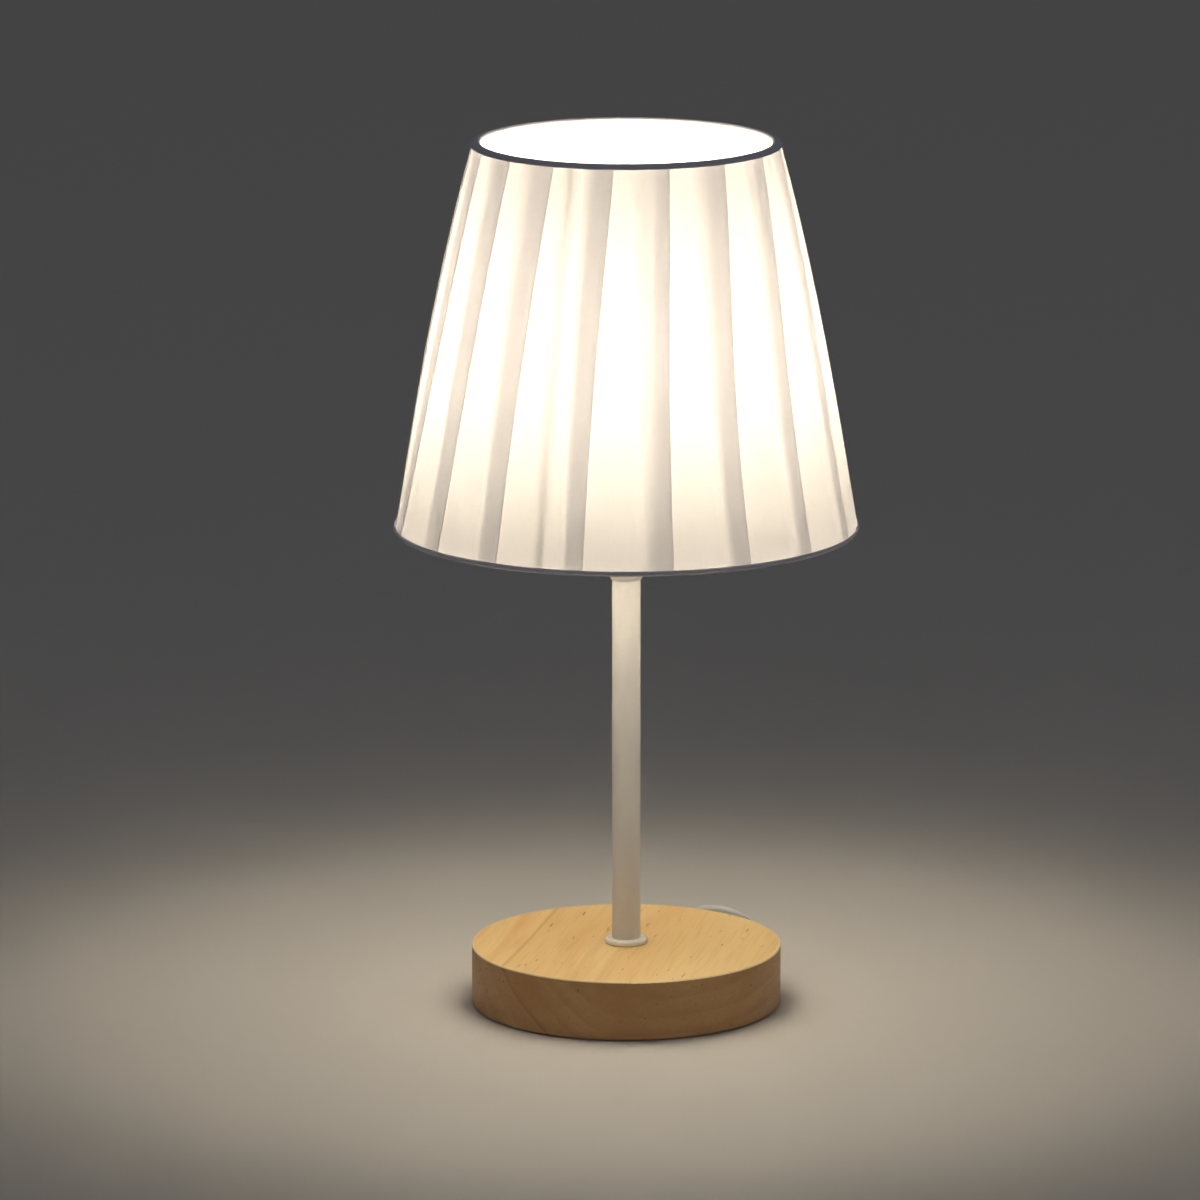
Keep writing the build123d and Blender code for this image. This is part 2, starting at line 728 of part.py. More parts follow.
coil_wire, coil_points, coil_end, coil_heading = coil_path()
parts["cord_coil"] = tube_along(coil_wire, cord_radius)
print("coil length", round(coil_wire.length, 1), "least self-gap",
      round(least_self_gap(coil_points, coil_wire.length / len(coil_points)), 3))

coil_start = coil_points[0]
start_turn = radians(coil_start_angle + 90)
start_heading = Vector(cos(start_turn), sin(start_turn), 0)
arch_route = [
    tuple(sleeve_tip), tuple(sleeve_tip + tip_heading * sleeve_leave_run),
    (36.0, 92.4, 17.4), (43.8, 95.6, 16.3), (52.0, 97.4, 11.9), (57.0, 102.2, 5.4), (58.6, 110.6, 2.1),
    (57.4, 118.2, 1.95), (53.4, 124.2, 1.95), (47.2, 127.5, 2.0),
    tuple(coil_start - start_heading * coil_join_run), tuple(coil_start),
]
parts["power_cord"] = cord_tube("power_cord", arch_route)

neck_end_y = plug_front_y + plug_length + plug_neck_length
plug_route = [
    tuple(coil_end), tuple(coil_end + coil_heading * coil_leave_run),
    (0.5, 136.4, 5.3), (-12.5, 138.0, 2.2), (-26.0, 137.6, 2.4), (-33.6, 134.2, 3.6), (-38.0, 127.2, 5.8),
    (plug_axis_x, neck_end_y + plug_enter_run, plug_axis_height), (plug_axis_x, neck_end_y, plug_axis_height),
]
parts["plug_cord"] = cord_tube("plug_cord", plug_route)

# The tie goes round the coil's whole section, just clear of the outermost and innermost turns
tie_inner = coil_inner_radius - cord_radius - tie_slack
tie_outer = coil_outer_radius + cord_radius + tie_slack
tie_low = coil_low_height - cord_radius - tie_gap
tie_high = coil_high_height + cord_radius + tie_gap
tie_middle = ((tie_inner + tie_outer) / 2, 0, (tie_low + tie_high) / 2)
tie_span, tie_rise = tie_outer - tie_inner, tie_high - tie_low
tie = Pos(*tie_middle) * Box(tie_span + 2 * tie_thickness, tie_width, tie_rise + 2 * tie_thickness)
tie -= Pos(*tie_middle) * Box(tie_span, tie_width + over, tie_rise)
parts["coil_tie"] = Pos(*coil_centre, 0) * Rot(0, 0, tie_angle) * tie

plug_middle = Pos(plug_axis_x, plug_front_y + plug_length / 2, plug_axis_height)
plug = fillet(Box(plug_width, plug_length, plug_height).edges(), plug_edge)
neck_turn = Pos(plug_axis_x, plug_front_y + plug_length, plug_axis_height) * Rot(-90, 0, 0)
neck_start = (Align.CENTER, Align.CENTER, Align.MIN)
neck_cone = Cone(plug_neck_radius, plug_neck_tip_radius, plug_neck_length, align=neck_start)
plug_body = plug_middle * plug + neck_turn * neck_cone
blade_y = plug_front_y - blade_length
blades = []
for side in (-1, 1):
    middle = Pos(plug_axis_x + side * blade_spacing / 2, blade_y, plug_axis_height)
    start = (Align.CENTER, Align.MIN, Align.CENTER)
    blade = Box(blade_thickness, blade_length + blade_inside, blade_width, align=start)
    hole = along_x(rod(blade_hole_radius, -blade_thickness, blade_thickness))
    blade -= Pos(0, blade_hole_from_tip, 0) * hole
    blades.append(middle * blade)
    slot = Box(blade_thickness + 2 * loose_gap, blade_length + blade_inside + loose_gap,
               blade_width + 2 * loose_gap, align=start)
    plug_body -= middle * slot
parts["plug_body"] = plug_body
parts["plug_blades"] = Compound(children=blades)

print("cord from the sleeve to the plug:", round(
    FilletPolyline(*arch_route, radius=fillet_radii(arch_route)).length + coil_wire.length
    + FilletPolyline(*plug_route, radius=fillet_radii(plug_route)).length, 1))

os.makedirs("parts", exist_ok=True)
for name, shape in parts.items():
    export_step(shape, f"parts/{name}.step")
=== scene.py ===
import bmesh
import bpy
import math
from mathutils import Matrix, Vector, noise


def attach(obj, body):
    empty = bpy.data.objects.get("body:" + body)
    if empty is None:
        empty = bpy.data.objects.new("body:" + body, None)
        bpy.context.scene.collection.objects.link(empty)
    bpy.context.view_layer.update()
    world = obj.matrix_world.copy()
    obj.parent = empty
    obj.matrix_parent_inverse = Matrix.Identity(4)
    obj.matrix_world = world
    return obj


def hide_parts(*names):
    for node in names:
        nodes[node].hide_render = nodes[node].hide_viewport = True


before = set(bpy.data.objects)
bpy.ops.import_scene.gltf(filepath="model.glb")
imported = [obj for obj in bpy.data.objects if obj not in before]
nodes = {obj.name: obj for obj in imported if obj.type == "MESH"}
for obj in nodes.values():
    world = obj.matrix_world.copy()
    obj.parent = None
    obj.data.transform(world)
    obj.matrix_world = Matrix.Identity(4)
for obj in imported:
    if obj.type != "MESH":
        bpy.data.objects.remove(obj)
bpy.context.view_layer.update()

print("frame loaded")

# Camera: a long lens that looks a little down on the lamp
view = dict(distance=3.4, height=0.921, lens=242.7, aimHeight=0.1784, photoSize=1200, lampColumn=626.3)

cameraData = bpy.data.cameras.new("camera")
cameraData.lens = view["lens"]
cameraData.clip_end = 60
cameraData.shift_x = -(view["lampColumn"] - view["photoSize"] / 2) / view["photoSize"]
camera = bpy.data.objects.new("camera", cameraData)
bpy.context.collection.objects.link(camera)
camera.location = (0, -view["distance"], view["height"])
lookDown = math.atan2(view["height"] - view["aimHeight"], view["distance"])
camera.rotation_euler = (math.pi / 2 - lookDown, 0, 0)
bpy.context.scene.camera = camera


# Helpers: sizes are given in millimetres and made metres here

def mm(*values):
    return tuple(v / 1000 for v in values)


def link(name, mesh):
    obj = bpy.data.objects.new(name, mesh)
    bpy.context.collection.objects.link(obj)
    return obj


def newObject(name, bm):
    mesh = bpy.data.meshes.new(name)
    bm.to_mesh(mesh)
    bm.free()
    mesh.shade_smooth()
    return link(name, mesh)


def paint(obj, material):
    obj.data.materials.clear()
    obj.data.materials.append(material)


def spinProfile(name, profile, steps=160, sharp=35):  # profile is a closed loop of (radius, height)
    bm = bmesh.new()
    verts = [bm.verts.new(mm(r, 0, z)) for r, z in profile]
    for a, b in zip(verts, verts[1:] + verts[:1]):
        bm.edges.new((a, b))
    bmesh.ops.spin(bm, geom=bm.verts[:] + bm.edges[:], cent=(0, 0, 0), axis=(0, 0, 1), angle=math.tau,
                   steps=steps, use_merge=True)
    bmesh.ops.remove_doubles(bm, verts=bm.verts, dist=1e-6)
    bmesh.ops.recalc_face_normals(bm, faces=bm.faces)
    for edge in bm.edges:
        if len(edge.link_faces) == 2 and edge.calc_face_angle() > math.radians(sharp):
            edge.smooth = False
    return newObject(name, bm)


# Cord: one smooth line from the sleeve over the arch, round the coil and on to the plug
cordValues = dict(
    diameter=3.8, exitAngle=70.0, exitHeight=14.0, baseRadius=67.0, flange=1.5, sleeveLength=17.0,
    sleeveRise=15.0, sleeveStraight=1.0, firstRun=7.0, coilMid=22.4, coilQuarters=17, coilPitch=4.32,
    coilLift=0.5, coilAngle=75.0, coilCentre=(8.5, 101.4), pointsPerTurn=16, joinRun=18.0, leaveRun=8.0,
    climbTuck=0.5, plugX=-38.5, plugHeight=6.5, neckEnd=113.5, lastRun=7.0, wobble=0.08, wobbleTurns=1.3,
)


def sleeveTip(v):
    rise = math.radians(v["sleeveRise"])
    bend = (v["sleeveLength"] - v["sleeveStraight"]) / rise
    run = bend * math.tan(rise / 2)
    start = v["baseRadius"] + v["flange"]
    r = start + run + (run + v["sleeveStraight"]) * math.cos(rise)
    turn = math.radians(v["exitAngle"])
    lift = (run + v["sleeveStraight"]) * math.sin(rise)
    tip = Vector((r * math.cos(turn), r * math.sin(turn), v["exitHeight"] + lift))
    heading = Vector((math.cos(turn) * math.cos(rise), math.sin(turn) * math.cos(rise), math.sin(rise)))
    return tip, heading


def coilPoints(v):  # in on the lower layer, out on the upper, with the climb in a half turn
    layerTurns = v["coilQuarters"] / 4
    run = layerTurns * v["coilPitch"]
    outer = v["coilMid"] + run / 2
    low = v["coilLift"] + v["diameter"] / 2
    spread = 1 / math.cos(math.pi / v["pointsPerTurn"])  # control points stand outside the line they draw
    points = []
    count = round((2 * layerTurns + 0.5) * v["pointsPerTurn"])
    for n in range(count + 1):
        turns = n / v["pointsPerTurn"]
        inward = min(turns, layerTurns)
        outward = max(0, turns - layerTurns - 0.5)
        climb = min(1, max(0, (turns - layerTurns) / 0.5))
        r = outer - run * inward / layerTurns + run * outward / layerTurns
        r -= v["climbTuck"] * math.sin(math.pi * climb)
        r += v["wobble"] * math.sin(turns * math.tau / v["wobbleTurns"])
        angle = math.radians(v["coilAngle"]) + turns * math.tau
        ease = climb * climb * (3 - 2 * climb)
        points.append((v["coilCentre"][0] + r * spread * math.cos(angle),
                       v["coilCentre"][1] + r * spread * math.sin(angle), low + v["coilPitch"] * ease))
    start = math.radians(v["coilAngle"])
    end = start + count / v["pointsPerTurn"] * math.tau
    return points, Vector((-math.sin(start), math.cos(start), 0)), Vector((-math.sin(end), math.cos(end), 0))


def makeCord(v):
    tip, heading = sleeveTip(v)
    coil, coilIn, coilOut = coilPoints(v)
    points = [
        tip, tip + heading * v["firstRun"],
        (36.0, 92.4, 17.4), (43.8, 95.6, 16.3), (52.0, 97.4, 11.9), (57.0, 102.2, 5.4), (58.6, 110.6, 2.1),
        (57.4, 118.2, 1.95), (53.4, 124.2, 1.95), (47.2, 127.5, 2.0),
        Vector(coil[0]) - coilIn * v["joinRun"],
        *coil,
        Vector(coil[-1]) + coilOut * v["leaveRun"],
        (0.5, 136.4, 5.3), (-12.5, 138.0, 2.2), (-26.0, 137.6, 2.4), (-33.6, 134.2, 3.6), (-38.0, 127.2, 5.8),
        (v["plugX"], v["neckEnd"] + v["lastRun"], v["plugHeight"]),
        (v["plugX"], v["neckEnd"], v["plugHeight"]),
    ]
    curve = bpy.data.curves.new("powerCord", "CURVE")
    curve.dimensions = "3D"
    spline = curve.splines.new("NURBS")
    spline.points.add(len(points) - 1)
    for point, place in zip(spline.points, points):
        point.co = (*mm(*place), 1)
        point.radius = v["diameter"] / 2000
    spline.order_u = 3
    spline.use_endpoint_u = True
    spline.resolution_u = 4
    curve.bevel_depth = 1.0  # each point's radius gives the real size
    curve.bevel_resolution = 3
    curve.use_fill_caps = True
    return link("powerCord", curve), tip


cord, cordExit = makeCord(cordValues)
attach(cord, "base")
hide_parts("power_cord", "cord_coil", "plug_cord")


# Node trees: small words for building them

class Tree:
    def __init__(self, tree):
        self.tree = tree
        self.nodes = tree.nodes

    def add(self, kind, **settings):
        node = self.nodes.new(kind)
        for name, value in settings.items():
            if name.startswith("in_"):
                key = name[3:].replace("_", " ")
                self.set(node, int(key) if key.isdigit() else key, value)
            else:
                setattr(node, name, value)
        return node

    def set(self, node, key, value):
        socket = node.inputs[key]
        if isinstance(value, bpy.types.NodeSocket):
            self.tree.links.new(value, socket)
        else:
            socket.default_value = value

    def maths(self, operation, a, b=0.0, clamp=False):
        return self.add("ShaderNodeMath", operation=operation, use_clamp=clamp, in_0=a, in_1=b).outputs[0]

    def ramp(self, fac, *stops):
        node = self.add("ShaderNodeValToRGB", in_Fac=fac)
        elements = node.color_ramp.elements
        while len(elements) < len(stops):
            elements.new(0.5)
        for element, (position, colour) in zip(elements, stops):
            element.position = position
            element.color = colour if len(colour) == 4 else (*colour, 1)
        return node.outputs["Color"]

    def mixColour(self, fac, a, b, blend="MIX"):
        node = self.add("ShaderNodeMix", data_type="RGBA", blend_type=blend)
        for key, value in ((0, fac), (6, a), (7, b)):
            if isinstance(value, bpy.types.NodeSocket):
                self.tree.links.new(value, node.inputs[key])
            else:
                node.inputs[key].default_value = value if key == 0 or len(value) == 4 else (*value, 1)
        return node.outputs[2]


def newMaterial(name):
    material = bpy.data.materials.new(name)
    material.use_nodes = True
    tree = Tree(material.node_tree)
    shader = tree.nodes["Principled BSDF"]
    return material, tree, shader


def srgb(r, g, b):
    def linear(c):
        c /= 255
        return c / 12.92 if c <= 0.04045 else ((c + 0.055) / 1.055) ** 2.4
    return (linear(r), linear(g), linear(b), 1)


def newGroup(name, inputs, outputs):
    group = bpy.data.node_groups.new(name, "ShaderNodeTree")
    for label, kind, value in inputs:
        socket = group.interface.new_socket(label, in_out="INPUT", socket_type=kind)
        if value is not None:
            socket.default_value = value
    for label, kind in outputs:
        group.interface.new_socket(label, in_out="OUTPUT", socket_type=kind)
    tree = Tree(group)
    return group, tree, tree.add("NodeGroupInput"), tree.add("NodeGroupOutput")


# Effects that several materials share

def makeMottle():  # soft uneven tone and a fine surface grain
    group, t, into, out = newGroup("surfaceMottle", [
        ("Scale", "NodeSocketFloat", 60.0), ("Amount", "NodeSocketFloat", 0.06),
        ("Colour", "NodeSocketColor", None), ("Rough", "NodeSocketFloat", 0.5),
        ("RoughSpread", "NodeSocketFloat", 0.1),
    ], [("Colour", "NodeSocketColor"), ("Rough", "NodeSocketFloat"), ("Height", "NodeSocketFloat")])
    where = t.add("ShaderNodeTexCoord").outputs["Object"]
    wide = t.add("ShaderNodeTexNoise", in_Vector=where, in_Scale=into.outputs["Scale"],
                 in_Detail=3.0).outputs["Fac"]
    fineScale = t.maths("MULTIPLY", into.outputs["Scale"], 22.0)
    fine = t.add("ShaderNodeTexNoise", in_Vector=where, in_Scale=fineScale, in_Detail=2.0).outputs["Fac"]
    swing = t.maths("MULTIPLY", t.maths("SUBTRACT", wide, 0.5), into.outputs["Amount"])
    value = t.maths("ADD", 1.0, swing)
    hsv = t.add("ShaderNodeHueSaturation", in_Color=into.outputs["Colour"], in_Value=value)
    rough = t.maths("ADD", into.outputs["Rough"],
                    t.maths("MULTIPLY", t.maths("SUBTRACT", wide, 0.5), into.outputs["RoughSpread"]))
    t.set(out, "Colour", hsv.outputs["Color"])
    t.set(out, "Rough", rough)
    t.set(out, "Height", fine)
    return group


mottle = makeMottle()


def plainFinish(name, colour, rough=0.5, metal=0.0, scale=60.0, amount=0.08, bump=0.15, depth=0.00004,
                spread=0.12):
    material, t, shader = newMaterial(name)
    group = t.add("ShaderNodeGroup", node_tree=mottle)
    for key, value in (("Scale", scale), ("Amount", amount), ("Colour", colour), ("Rough", rough),
                       ("RoughSpread", spread)):
        t.set(group, key, value)
    raised = t.add("ShaderNodeBump", in_Strength=bump, in_Distance=depth, in_Height=group.outputs["Height"])
    t.set(shader, "Base Color", group.outputs["Colour"])
    t.set(shader, "Roughness", group.outputs["Rough"])
    t.set(shader, "Normal", raised.outputs["Normal"])
    shader.inputs["Metallic"].default_value = metal
    return material


# Wood: growth rings round a far axis, so the top shows stripes and the front shows arcs
woodValues = dict(
    light=srgb(240, 209, 150), mid=srgb(233, 198, 137), dark=srgb(204, 156, 96), fleck=srgb(140, 94, 52),
    warm=srgb(224, 172, 106), ringCentre=(0.035, 0.0, 0.078), grainTurn=-13.0, ringSpacing=0.0082,
    wander=0.030, seamRadius=0.0894, seamWidth=0.0011, edgeRadius=0.0663, edgeHeight=0.0256,
    # The side tone paints shade on the round side; the edge tone paints a highlight on the rounded top edge
    edgeHighlightTone=srgb(255, 236, 190), sideShadeTone=(0.66, 0.55, 0.49, 1),
)


def makeWood(v):
    material, t, shader = newMaterial("pineWood")
    where = t.add("ShaderNodeTexCoord").outputs["Object"]
    centred = t.add("ShaderNodeMapping", vector_type="TEXTURE", in_Vector=where, in_Location=v["ringCentre"],
                    in_Rotation=(0, 0, math.radians(v["grainTurn"]))).outputs["Vector"]
    wander = t.add("ShaderNodeMapping", in_Vector=centred, in_Scale=(9.0, 2.2, 9.0)).outputs["Vector"]
    bend = t.add("ShaderNodeTexNoise", in_Vector=wander, in_Scale=1.0, in_Detail=2.0).outputs["Color"]
    shift = t.add("ShaderNodeVectorMath", operation="SUBTRACT", in_0=bend, in_1=(0.5, 0.5, 0.5)).outputs[0]
    push = t.add("ShaderNodeVectorMath", operation="SCALE", in_0=shift, in_Scale=v["wander"]).outputs[0]
    bent = t.add("ShaderNodeVectorMath", operation="ADD", in_0=centred, in_1=push).outputs[0]
    parts = t.add("ShaderNodeSeparateXYZ", in_Vector=bent)
    x2 = t.maths("POWER", parts.outputs["X"], 2.0)
    z2 = t.maths("POWER", parts.outputs["Z"], 2.0)
    radius = t.maths("SQRT", t.maths("ADD", x2, z2))
    phase = t.maths("DIVIDE", radius, v["ringSpacing"])
    wave = t.maths("FRACT", phase)
    ring = t.ramp(wave, (0.0, v["light"]), (0.40, v["light"]), (0.80, v["mid"]), (0.90, v["mid"]),
                  (1.0, v["light"]))
    # Broad change from the stripy left to the calm right
    broad = t.add("ShaderNodeTexNoise", in_Vector=t.add("ShaderNodeMapping", in_Vector=centred,
                  in_Scale=(26.0, 4.0, 26.0)).outputs["Vector"], in_Scale=1.0, in_Detail=3.0).outputs["Fac"]
    toned = t.mixColour(t.ramp(broad, (0.42, (0, 0, 0)), (0.70, (1, 1, 1))), ring, v["mid"])
    leftward = t.maths("MULTIPLY", parts.outputs["X"], -9.0, clamp=True)
    blotch = t.add("ShaderNodeTexNoise", in_Vector=t.add("ShaderNodeMapping", in_Vector=bent,
                   in_Scale=(75.0, 9.0, 75.0)).outputs["Vector"], in_Scale=1.0, in_Detail=2.0).outputs["Fac"]
    warmth = t.maths("MULTIPLY", t.ramp(blotch, (0.46, (0, 0, 0)), (0.66, (1, 1, 1))), leftward)
    toned = t.mixColour(warmth, toned, v["warm"])
    # One dark late-wood line with a pale one beside it
    seam = t.maths("DIVIDE", t.maths("SUBTRACT", radius, v["seamRadius"]), v["seamWidth"])
    darkLine = t.ramp(t.maths("ABSOLUTE", seam), (0.0, (1, 1, 1)), (1.0, (0, 0, 0)))
    paleLine = t.ramp(t.maths("ABSOLUTE", t.maths("SUBTRACT", seam, 1.6)), (0.0, (1, 1, 1)), (1.0, (0, 0, 0)))
    lined = t.mixColour(t.maths("MULTIPLY", darkLine, 0.7), toned, v["dark"])
    lined = t.mixColour(t.maths("MULTIPLY", paleLine, 0.5), lined, v["light"])
    # Fine fibres and dark flecks that run with the grain
    fibreAt = t.add("ShaderNodeMapping", in_Vector=bent, in_Scale=(900.0, 26.0, 900.0)).outputs["Vector"]
    fibre = t.add("ShaderNodeTexNoise", in_Vector=fibreAt, in_Scale=1.0, in_Detail=3.0).outputs["Fac"]
    fibred = t.mixColour(t.ramp(fibre, (0.50, (0, 0, 0)), (0.85, (0.4, 0.4, 0.4))), lined, v["dark"])
    fleckAt = t.add("ShaderNodeMapping", in_Vector=bent, in_Scale=(520.0, 70.0, 520.0)).outputs["Vector"]
    fleck = t.add("ShaderNodeTexNoise", in_Vector=fleckAt, in_Scale=1.0, in_Detail=1.0).outputs["Fac"]
    flecked = t.mixColour(t.ramp(fleck, (0.72, (0, 0, 0)), (0.78, (0.75, 0.75, 0.75))), fibred, v["fleck"])
    # The round side is multiplied darker as painted shade, and the rounded top edge is painted paler as a
    # painted highlight
    plain = t.add("ShaderNodeSeparateXYZ", in_Vector=where)
    across = t.maths("SQRT", t.maths("ADD", t.maths("POWER", plain.outputs["X"], 2.0),
                                     t.maths("POWER", plain.outputs["Y"], 2.0)))
    atRim = t.maths("GREATER_THAN", across, v["edgeRadius"])
    atTop = t.maths("GREATER_THAN", plain.outputs["Z"], v["edgeHeight"])
    stain = t.add("ShaderNodeTexNoise", in_Vector=t.add("ShaderNodeMapping", in_Vector=where,
                  in_Scale=(34.0, 34.0, 70.0)).outputs["Vector"], in_Scale=1.0, in_Detail=3.0).outputs["Fac"]
    blotched = t.mixColour(t.ramp(stain, (0.40, (0, 0, 0)), (0.75, (0.35, 0.35, 0.35))), flecked, v["dark"])
    # painted shade: the side below the top's rounded edge is multiplied darker
    shadedSide = t.mixColour(1.0, blotched, v["sideShadeTone"], blend="MULTIPLY")
    flecked = t.mixColour(t.maths("MULTIPLY", atRim, t.maths("SUBTRACT", 1.0, atTop)), flecked, shadedSide)
    # painted highlight: a pale band along the rounded top edge
    flecked = t.mixColour(t.maths("MULTIPLY", t.maths("MULTIPLY", atRim, atTop), 0.8), flecked, v["edgeHighlightTone"])
    rough = t.ramp(fibre, (0.3, (0.42, 0.42, 0.42)), (0.8, (0.56, 0.56, 0.56)))
    raised = t.add("ShaderNodeBump", in_Strength=0.35, in_Distance=0.00012, in_Height=fibre)
    t.set(shader, "Base Color", flecked)
    t.set(shader, "Roughness", rough)
    t.set(shader, "Normal", raised.outputs["Normal"])
    return material


wood = makeWood(woodValues)
whitePaint = plainFinish("whitePowderCoat", srgb(236, 234, 230), rough=0.42, scale=140.0, amount=0.03,
                         bump=0.25)
whiteNylon = plainFinish("whiteNylon", srgb(255, 254, 251), rough=0.24, scale=120.0, amount=0.02, bump=0.05)
whitePlastic = plainFinish("whitePlastic", srgb(232, 230, 224), rough=0.38, scale=90.0, amount=0.03)
cordSheath = plainFinish("cordSheath", srgb(226, 226, 224), rough=0.45, scale=120.0, amount=0.05)
tapeFinish = plainFinish("trimTape", srgb(218, 220, 232), rough=0.8, scale=260.0, amount=0.18, bump=0.5,
                         depth=0.0001)
zincSteel = plainFinish("zincSteel", srgb(196, 198, 200), rough=0.35, metal=1.0, scale=200.0, amount=0.15)
darkIron = plainFinish("castIron", srgb(74, 74, 78), rough=0.62, metal=0.8, scale=90.0, amount=0.3, bump=0.6)
brass = plainFinish("brass", srgb(212, 176, 104), rough=0.32, metal=1.0, scale=160.0, amount=0.12)
aluminium = plainFinish("bulbAluminium", srgb(206, 207, 208), rough=0.3, metal=1.0, scale=160.0, amount=0.1)
ceramic = plainFinish("ceramicCore", srgb(226, 220, 208), rough=0.5, scale=120.0, amount=0.05)
feltFinish = plainFinish("feltPad", srgb(70, 70, 74), rough=0.95, scale=420.0, amount=0.5, bump=0.9,
                         depth=0.0003)
leadFinish = plainFinish("leadInsulation", srgb(126, 150, 190), rough=0.45, scale=120.0, amount=0.05)
wirePaint = plainFinish("frameWire", srgb(228, 227, 222), rough=0.4, scale=150.0, amount=0.05)


def makeGlow(name, colour, strength, base=(0.9, 0.88, 0.84, 1)):
    material, t, shader = newMaterial(name)
    shader.inputs["Base Color"].default_value = base
    shader.inputs["Emission Color"].default_value = colour
    shader.inputs["Emission Strength"].default_value = strength
    shader.inputs["Roughness"].default_value = 0.4
    return material


bulbValues = dict(colour=(1.0, 0.875, 0.70, 1), strength=50.0)
opal = makeGlow("opalGlass", bulbValues["colour"], bulbValues["strength"])
filamentGlow = makeGlow("filamentGlow", (1.0, 0.75, 0.42, 1), 4.0)
print("materials made")


# Shade: liner, knife-pleated cloth, seam and tape, all on one leaning wall
shadeValues = dict(
    bottomRadius=100.4, topRadius=66.1, bottomHeight=209.8, height=168.7, web=0.45,
    linerInset=1.95, linerThickness=0.35, steps=204, swell=2.3, swellBias=0.8,
    firstBottom=-10.7, firstTop=-4.4,
    strayBottom=[0, 1.2, 0.4, -0.4, -0.7, -0.9, 0.9, -0.5, 0.6, -1, 0.4, 0.8, -0.7, 0.3, -1.9, -0.6, -1.7],
    strayTop=[0, -0.7, 1.1, 1.9, 1.7, 1.0, 1.6, 0.2, 1.1, -0.6, 0.9, 1.4, 0.3, -0.8, -0.6, -1.0, -1.8],
    bow=[1.3, 1.5, 3.2, 3.8, 3.5, 2.0, 1.0, 1.6, 0.4, 1.2, 2.0, 0.6, 1.4, -1.0, -2.6, -0.4, 0.8],
    lapBottom=[8.2, 11.4, 9.4, 8.4, 8.8, 9.0, 9.6, 8.6, 9.4, 10.2, 8.8, 9.2, 9.8, 8.6, 8.4, 10.2, 9.6],
    lapTop=[12.5, 15.6, 16.6, 14.0, 14.2, 13.6, 15.0, 14.4, 12.8, 15.8, 14.6, 13.4, 15.2, 14.0, 13.8, 14.0,
            15.8],
    denseBottom=[6.8, 7.5, 8.2, 6.6, 7.0, 7.4, 8.0, 7.0, 7.8, 8.4, 7.2, 7.6, 8.0, 7.0, 7.2, 9.0, 8.6],
    denseTop=[8.8, 5.6, 9.0, 7.3, 8.0, 7.6, 8.6, 8.0, 7.2, 9.2, 8.4, 7.4, 8.8, 8.0, 8.0, 9.6, 9.2],
    lapEase=1.6, underInset=1.72, returnInset=1.28, outerInset=0.82, panelInset=1.55,
    rampWidth=2.6, rampLead=0.85, panelCrown=0.12, levels=28, wave=0.16, gapShare=0.52, turnShare=1.0,
    seamBottom=-22.0, seamTop=-20.5, seamWidth=3.9,
    trimReach=4.5, trimRoll=0.8, trimInside=2.6, trimBottomWidth=2.4, trimTopWidth=2.2,
)


def wall(v, height, inset):
    slope = (v["topRadius"] - v["bottomRadius"]) / v["height"]
    return v["bottomRadius"] + (height - v["bottomHeight"]) * slope - inset


def onWall(v, degrees, height, inset):
    r = wall(v, height, inset)
    return mm(r * math.sin(math.radians(degrees)), -r * math.cos(math.radians(degrees)), height)


def swellAt(v, height):  # the cloth puffs out between the two trims
    start = v["bottomHeight"] + v["trimBottomWidth"]
    end = v["bottomHeight"] + v["height"] - v["trimTopWidth"]
    share = min(1, max(0, (height - start) / (end - start)))
    return v["swell"] * math.sin(math.pi * (1 - share) ** v["swellBias"])


def foldAngles(v, t):
    even = 360 / len(v["bow"])
    low = [v["firstBottom"] + n * even + stray for n, stray in enumerate(v["strayBottom"])]
    high = [v["firstTop"] + n * even + stray for n, stray in enumerate(v["strayTop"])]
    return [(1 - t) * a + t * b - math.sin(math.pi * t) * bow for a, b, bow in zip(low, high, v["bow"])]


